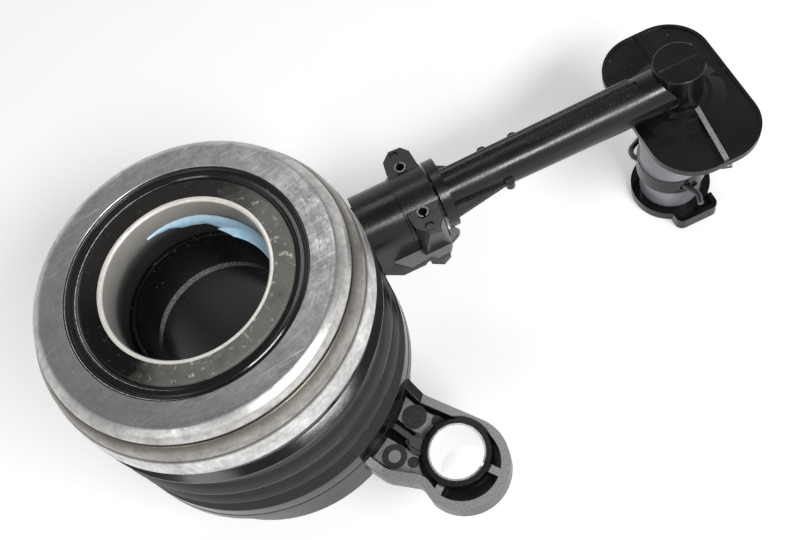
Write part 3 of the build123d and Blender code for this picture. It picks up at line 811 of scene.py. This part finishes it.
# inner ring and the thrust sleeve it is pressed on
def makeInnerParts(shared, size):
    top = shared["top"]
    outer = shared["innerOuter"]
    chamfer = size["ringChamfer"]
    ring = [
        (shared["sleeveOuter"], size["seatTop"]),
        (outer, size["seatTop"]),
        (outer, top - chamfer, size["ringRound"]),
        (outer - chamfer, top, size["ringRound"]),
        (shared["sleeveOuter"], top),
    ]
    mesh = lathe("innerRing", ring)
    cone = addPiece("innerRing", mesh, "innerRing", "thrust_carrier")
    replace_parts(cone, "bearing_inner_ring")
    edgeAcross, edgeDown = size["sleeveEdge"]
    leadAcross, leadDown = size["sleeveLead"]
    upperRound, lowerRound = size["leadRounds"]
    sleeve = [
        (size["sleeveInner"], size["sleeveBase"]),
        (shared["sleeveOuter"], size["sleeveBase"]),
        (shared["sleeveOuter"], top - edgeDown),
        (shared["sleeveOuter"] - edgeAcross, top),
        (size["sleeveInner"] + leadAcross, top, upperRound),
        (size["sleeveInner"], top - leadDown, lowerRound),
    ]
    mesh = lathe("thrustSleeve", sleeve)
    liner = addPiece("thrustSleeve", mesh, "sleeve", "thrust_carrier")
    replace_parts(liner, "thrust_sleeve")


# fine rails beside the channel on top of the feed tube
rails = {
    "start": 48.8,
    "end": 91.5,
    "radii": (4.3, 4.76),                    # of the tube at the start and at the end
    "turns": (27.0, 43.0),                   # degrees from the top towards the far side
    "wide": 0.7,
    "high": 0.3,
    "section": ((-0.5, -0.3), (-0.32, 1), (0.32, 1), (0.5, -0.3)),    # across and up, shares of wide and high
    "axis": (16.4, 18.1),                    # y and z of the tube
    "steps": 24,
}


def makeRails(size):
    y, z = size["axis"]
    first, last = size["radii"]
    for index, turn in enumerate(size["turns"]):
        angle = math.radians(turn)
        out = Vector((0, math.sin(angle), math.cos(angle)))
        side = Vector((0, math.cos(angle), -math.sin(angle)))
        vertices = []
        for step in range(size["steps"] + 1):
            share = step / size["steps"]
            middle = Vector((size["start"] + (size["end"] - size["start"]) * share, y, z))
            radius = first + (last - first) * share
            for across, rise in size["section"]:
                spot = middle + out * (radius + rise * size["high"]) + side * (across * size["wide"])
                vertices.append(spot * mm)
        faces = []
        for low in range(0, 4 * size["steps"], 4):
            for corner in range(4):
                ahead = (corner + 1) % 4
                faces.append((low + corner, low + ahead, low + 4 + ahead, low + 4 + corner))
        faces.append((0, 1, 2, 3))
        faces.append(tuple(4 * size["steps"] + corner for corner in (3, 2, 1, 0)))
        mesh = makeMesh(f"tubeRail{index}", vertices, faces, 30)
        addPiece(f"tubeRail{index}", mesh, "rail", "fixed_unit")


bellows = {
    "base": 16.0,
    "bandTop": 19.2,
    "bandRadius": 30.1,
    "bandRound": 0.3,
    "ridges": (24.7, 30.9, 38.35),
    "ridgeRadius": 30.0,
    "ridgeHalf": 0.12,
    "ridgeWall": 1.6,
    "valley": 28.0,
    "fold": 0.9,                             # rounding of the folds
    "foldSteps": ((0.5, 0.18, 0.5), (0, 0.5, 0), (0.7, 0.80, 0)),     # outward, share of the rise, and up
    "wall": 0.9,
    "top": 43.2,
    "topFold": (0.3, 1.0),                   # outward and up from the last ridge
    "bead": 2.3,
    "beadIn": 0.8,
    "beadRise": 0.3,
    "neckDrops": (0.4, 0.8),                 # outside and inside, under the bead
    "seat": 27.0,
    "travel": 10.0,
}


# rubber bellows: foot band, three thin ridges over soft valleys, and a top bead
def makeBoot(size):
    valley = size["valley"]
    inside = valley - size["wall"]
    ridgeRadius = size["ridgeRadius"]
    fold = size["fold"]
    top = size["top"]
    neck = top - size["bead"]
    topOut, topUp = size["topFold"]
    outsideDrop, insideDrop = size["neckDrops"]
    levels = (size["bandTop"], *size["ridges"])
    folds = list(zip(levels, levels[1:]))    # each fold runs from the level below up to its ridge
    outline = [
        (inside, size["base"]),
        (size["bandRadius"], size["base"]),
        (size["bandRadius"], size["bandTop"], size["bandRound"]),
    ]
    for below, ridge in folds:
        gap = ridge - below
        outline += [(valley + out, below + share * gap + up, fold) for out, share, up in size["foldSteps"]]
        outline += [(ridgeRadius, ridge - size["ridgeHalf"]), (ridgeRadius, ridge + size["ridgeHalf"])]
    outline += [
        (valley + topOut, levels[-1] + topUp, fold),
        (valley, neck - outsideDrop, fold),
        (ridgeRadius - size["beadIn"], neck + size["beadRise"]),
        (ridgeRadius - size["beadIn"], top),
        (size["seat"], top),
        (size["seat"], neck, fold),
        (inside, neck - insideDrop, fold),
    ]
    for below, ridge in reversed(folds):
        outline += [(ridgeRadius - size["ridgeWall"], ridge, fold), (inside, (below + ridge) / 2, fold)]
    mesh = lathe("bootBellows", outline, smooth=50)
    boot = addPiece("bootBellows", mesh, "boot", "fixed_unit")
    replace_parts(boot, "boot")
    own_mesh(boot)


coil = {
    "radius": 25.9,
    "wire": 1.8,
    "turns": 5.0,
    "base": 16.0,
    "top": 42.0,
    "around": 12,                            # points round the wire
    "perTurn": 48,                           # steps in one turn
    "travel": 10.0,
}


# preload spring under the boot, as a helix of round wire
def makeSpring(size):
    rise = size["top"] - size["base"] - size["wire"]
    steps = int(size["turns"] * size["perTurn"])
    half = size["wire"] / 2
    around = size["around"]
    vertices = []
    faces = []
    for step in range(steps + 1):
        angle = 2 * math.pi * size["turns"] * step / steps
        height = size["base"] + half + rise * step / steps
        for spot in range(around):
            turn = 2 * math.pi * spot / around
            reach = (size["radius"] + half * math.cos(turn)) * mm
            level = (height + half * math.sin(turn)) * mm
            vertices.append((reach * math.cos(angle), reach * math.sin(angle), level))
    for step in range(steps):
        here = step * around
        there = here + around
        for spot in range(around):
            ahead = (spot + 1) % around
            faces.append((here + spot, here + ahead, there + ahead, there + spot))
    faces.append(tuple(range(around)))
    faces.append(tuple(steps * around + spot for spot in reversed(range(around))))
    mesh = makeMesh("preloadCoil", vertices, faces, 50)
    spring = addPiece("preloadCoil", mesh, "pin", "fixed_unit")
    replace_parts(spring, "preload_spring")
    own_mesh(spring)


guide = {
    "bore": 13.0,
    "outer": 14.0,
    "top": 45.0,
    "lip": 0.6,
    "lipIn": 0.2,
    "foot": 18.0,
    "footThick": 1.5,
    "rounds": (0.2, 0.5, 0.15, 0.4),         # at the foot, the lip's outside, its top and its bore
}


# dark guide tube with a rolled lip
def makeGuideTube(size):
    footRound, outsideRound, topRound, boreRound = size["rounds"]
    outline = [
        (size["bore"], -size["footThick"]),
        (size["foot"], -size["footThick"]),
        (size["foot"], 0),
        (size["outer"], 0, footRound),
        (size["outer"], size["top"], outsideRound),
        (size["bore"] + size["lipIn"], size["top"], topRound),
        (size["bore"], size["top"] - size["lip"], boreRound),
    ]
    mesh = lathe("guideTube", outline)
    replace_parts(addPiece("guideTube", mesh, "guide", "fixed_unit"), "guide_tube")


makePressureRing(bearing, pressureRing)
makePressedShell(bearing, pressedShell)
makeFrontSeal(bearing, frontSeal)
makeInnerParts(bearing, innerParts)
makeRails(rails)
makeBoot(bellows)
makeSpring(coil)
makeGuideTube(guide)
print("turned pieces and rails made")


# mould marks in the ear pockets: plain dials and ejector spots, as thin discs on the raised fields
marks = {
    "field": 10.3,                           # height of the raised fields
    "lift": 0.02,
    "dials": ((23.4, -22.2, "darkMark"), (16.9, -27.7, "paleMark")),       # x, y and the finish of the core
    "dialRadius": 2.4,
    "dialTop": 10.47,
    "coreRadius": 1.22,
    "coreGap": 0.1,
    "spots": ((27.0, -24.9), (19.7, -30.3)),
    "spotRadius": 1.1,
    "spotThick": 0.05,
    "hub": 0.02,                             # radius left open in the middle of a disc
}


def washer(inner, outer, low, high):
    return [(inner, low), (outer, low), (outer, high), (inner, high)]


# turned mark, moved sideways to its place
def addMark(name, outline, around, finish, x, y):
    mark = addPiece(name, lathe(name, outline, around), finish, "fixed_unit")
    for vertex in mark.data.vertices:
        vertex.co.x += x * mm
        vertex.co.y += y * mm


def makeMarks(size):
    low = size["field"] + size["lift"]
    high = size["dialTop"]
    core = size["coreRadius"]
    ring = washer(core + size["coreGap"], size["dialRadius"], low, high)
    disc = washer(size["hub"], core, low, high + size["lift"])
    spot = washer(size["hub"], size["spotRadius"], low, low + size["spotThick"])
    for ear, side in ((1, "Near"), (-1, "Far")):        # the far ear is the near one turned by half a turn
        for index, (x, y, finish) in enumerate(size["dials"]):
            addMark(f"dialRing{side}{index}", ring, 48, "darkMark", ear * x, ear * y)
            addMark(f"dialCore{side}{index}", disc, 48, finish, ear * x, ear * y)
        for index, (x, y) in enumerate(size["spots"]):
            addMark(f"ejectorSpot{side}{index}", spot, 40, "darkMark", ear * x, ear * y)


# blue grease smeared inside the sleeve and over the guide tube's lip
grease = {
    "edge": (                                # turn in degrees, lower edge, upper edge
        (-22, 47.6, 47.9), (-8, 47.2, 48.0), (8, 45.6, 48.3), (20, 43.6, 48.6),
        (34, 43.0, 48.9), (48, 43.6, 49.2), (60, 45.2, 49.8), (70, 47.2, 50.3),
        (82, 47.6, 50.5), (96, 49.2, 50.6), (110, 50.0, 50.4),
    ),
    "wall": 14.49,
    "thick": 0.24,
    "perDegree": 2,
    "wobble": 0.06,
    "across": 9,                             # points from one edge to the other
    "lipTurn": (-6, 64),
    "lipSteps": 60,
    "lipInner": 13.12,
    "lipOuter": 14.42,
    "lipTop": 45.0,
    "lipGap": 0.01,
    "lipThick": 0.25,
    "lipClimb": 2.2,
    "lipSquash": 0.15,                       # share of the climb left when the piston is home
}


# thin domed film: spotAt gives the turn in degrees, radius and height for a step along and a share across
def film(name, steps, spotAt, across, body):
    vertices = []
    faces = []
    for step in range(steps + 1):
        for row in range(across):
            angle, radius, height = spotAt(step, row / (across - 1))
            turn = math.radians(angle)
            vertices.append((radius * mm * math.cos(turn), radius * mm * math.sin(turn), height * mm))
    for step in range(steps):
        for row in range(across - 1):
            first = step * across + row
            faces.append((first, first + 1, first + across + 1, first + across))
    return addPiece(name, makeMesh(name, vertices, faces, 60), "grease", body)


# lower and upper edge of the smear at one turn
def edgesAt(edge, angle):
    for before, after in zip(edge, edge[1:]):
        if before[0] <= angle <= after[0]:
            share = (angle - before[0]) / (after[0] - before[0])
            share = share * share * (3 - 2 * share)
            return [low + (high - low) * share for low, high in zip(before[1:], after[1:])]
    return edge[-1][1:]


def makeGreaseWall(size):
    edge = size["edge"]
    start = edge[0][0]
    turned = edge[-1][0] - start
    steps = int(turned * size["perDegree"])
    random.seed(7)
    wobble = [random.uniform(-size["wobble"], size["wobble"]) for step in range(steps + 1)]

    def onWall(step, part):
        angle = start + turned * step / steps
        low, high = edgesAt(edge, angle)
        radius = size["wall"] - size["thick"] * math.sin(math.pi * part)
        return angle, radius, low + wobble[step] + (high - low) * part

    film("greaseWall", steps, onWall, size["across"], "thrust_carrier")


def makeGreaseLip(size):
    start, end = size["lipTurn"]
    outer = size["lipOuter"]

    def onLip(step, part):
        share = step / size["lipSteps"]
        ends = math.sin(math.pi * share)                # thins out to nothing at both ends
        inner = outer + (size["lipInner"] - outer) * min(1, 1.6 * ends)
        climb = size["lipClimb"] * (1 - part) ** 2 * ends
        dome = size["lipThick"] * math.sin(math.pi * part) * min(1, 2 * ends)
        angle = start + (end - start) * step / size["lipSteps"]
        return angle, outer + (inner - outer) * part, size["lipTop"] + size["lipGap"] + climb + dome

    lip = film("greaseLip", size["lipSteps"], onLip, size["across"], "fixed_unit")
    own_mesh(lip)


makeMarks(marks)
makeGreaseWall(grease)
makeGreaseLip(grease)
print("marks and grease made")


# scene: floor, light and camera

# 1 for what the camera, a gloss or a glass sees, 0 for light that falls on the object
def seenDirectly(tree):
    path = tree.nodes.new("ShaderNodeLightPath")
    seen = higher(tree, path.outputs["Is Camera Ray"], path.outputs["Is Glossy Ray"])
    return higher(tree, seen, path.outputs["Is Transmission Ray"])


floorLook = {
    "drop": 0.2,                             # millimetres under the unit's lowest point
    "size": 4.0,                             # metres
    "colour": (0.90, 0.90, 0.90),
    "rough": 0.9,
    "glow": (0.28, 0.72),                    # added to what is seen of it, near the unit and far away
    "glowRadii": (0.3, 1.2),                 # metres
}


# pale floor that still takes the unit's shadow
def makeFloor(look):
    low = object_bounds()[0].z - look["drop"] * mm
    half = look["size"] / 2
    mesh = bpy.data.meshes.new("floor")
    corners = [(-half, -half, low), (half, -half, low), (half, half, low), (-half, half, low)]
    mesh.from_pydata(corners, [], [(0, 1, 2, 3)])
    floor = bpy.data.objects.new("floor", mesh)
    bpy.context.scene.collection.objects.link(floor)
    floor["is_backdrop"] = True
    material, tree, shader = newMaterial("floorPaper", look)
    shader.inputs["Emission Color"].default_value = (1, 1, 1, 1)
    glow = span(tree, polar(tree)["radius"], *look["glowRadii"], *look["glow"])
    link(tree, times(tree, seenDirectly(tree), glow), shader.inputs["Emission Strength"])
    mesh.materials.append(material)


room = {
    "ambient": 0.30,                         # soft light that falls on the unit
    "ceiling": 0.20,                         # what a gloss sees straight above, against 1 at the horizon
    "heights": (0.35, 0.8),
}


# world that reads white to the camera and glass, graded to a gloss, and plain to the unit
def makeWorld(look):
    world = bpy.data.worlds.new("studio")
    bpy.context.scene.world = world
    world.use_nodes = True
    tree = world.node_tree
    background = tree.nodes["Background"]
    background.inputs["Color"].default_value = (1, 1, 1, 1)
    coords = tree.nodes.new("ShaderNodeTexCoord")
    split = tree.nodes.new("ShaderNodeSeparateXYZ")
    link(tree, coords.outputs["Generated"], split.inputs[0])
    graded = span(tree, split.outputs[2], *look["heights"], 1, look["ceiling"])
    path = tree.nodes.new("ShaderNodeLightPath")
    seen = times(tree, path.outputs["Is Glossy Ray"], graded)
    direct = higher(tree, path.outputs["Is Camera Ray"], path.outputs["Is Transmission Ray"])
    link(tree, higher(tree, higher(tree, seen, direct), look["ambient"]), background.inputs["Strength"])


lamps = [
    {"name": "keyStrip", "spot": (0.17, -0.31, 0.40), "size": (0.24, 0.10), "power": 2.0},
    {"name": "fillBox", "spot": (-0.30, -0.25, 0.42), "size": (0.16, 0.16), "power": 0.35},
    {"name": "backBox", "spot": (0.06, 0.26, 0.50), "size": (0.16, 0.16), "power": 0.25},
]
lampAim = Vector((0.03, 0.0, 0.03))


def makeLamps():
    for lamp in lamps:
        data = bpy.data.lights.new(lamp["name"], "AREA")
        data.shape = "RECTANGLE"
        data.size, data.size_y = lamp["size"]
        data.energy = lamp["power"]
        piece = bpy.data.objects.new(lamp["name"], data)
        piece.location = lamp["spot"]
        piece.rotation_mode = "QUATERNION"
        piece.rotation_quaternion = (lampAim - Vector(lamp["spot"])).to_track_quat("-Z", "Y")
        bpy.context.scene.collection.objects.link(piece)


viewpoint = {
    "spot": (0.03032, -0.09257, 0.19341),    # metres, in the unit's own frame
    "right": (0.90397, -0.38021, -0.19564),
    "up": (0.42737, 0.78863, 0.44206),
    "lens": 45.271,
}


# camera where the photograph was taken from, fitted to the bearing rings, the bolt sleeve and the tube
def makeCamera(look):
    data = bpy.data.cameras.new("camera")
    data.lens = look["lens"]
    data.sensor_width = 36
    data.clip_start = 0.005
    right = Vector(look["right"]).normalized()
    up = Vector(look["up"])
    up = (up - right * up.dot(right)).normalized()
    back = right.cross(up)
    camera = bpy.data.objects.new("camera", data)
    camera.matrix_world = Matrix.Translation(look["spot"]) @ Matrix((right, up, back)).transposed().to_4x4()
    bpy.context.scene.collection.objects.link(camera)
    bpy.context.scene.camera = camera


makeFloor(floorLook)
makeWorld(room)
makeLamps()
makeCamera(viewpoint)
bpy.context.scene.view_settings.view_transform = "Standard"
print("stage, lamps and camera set")
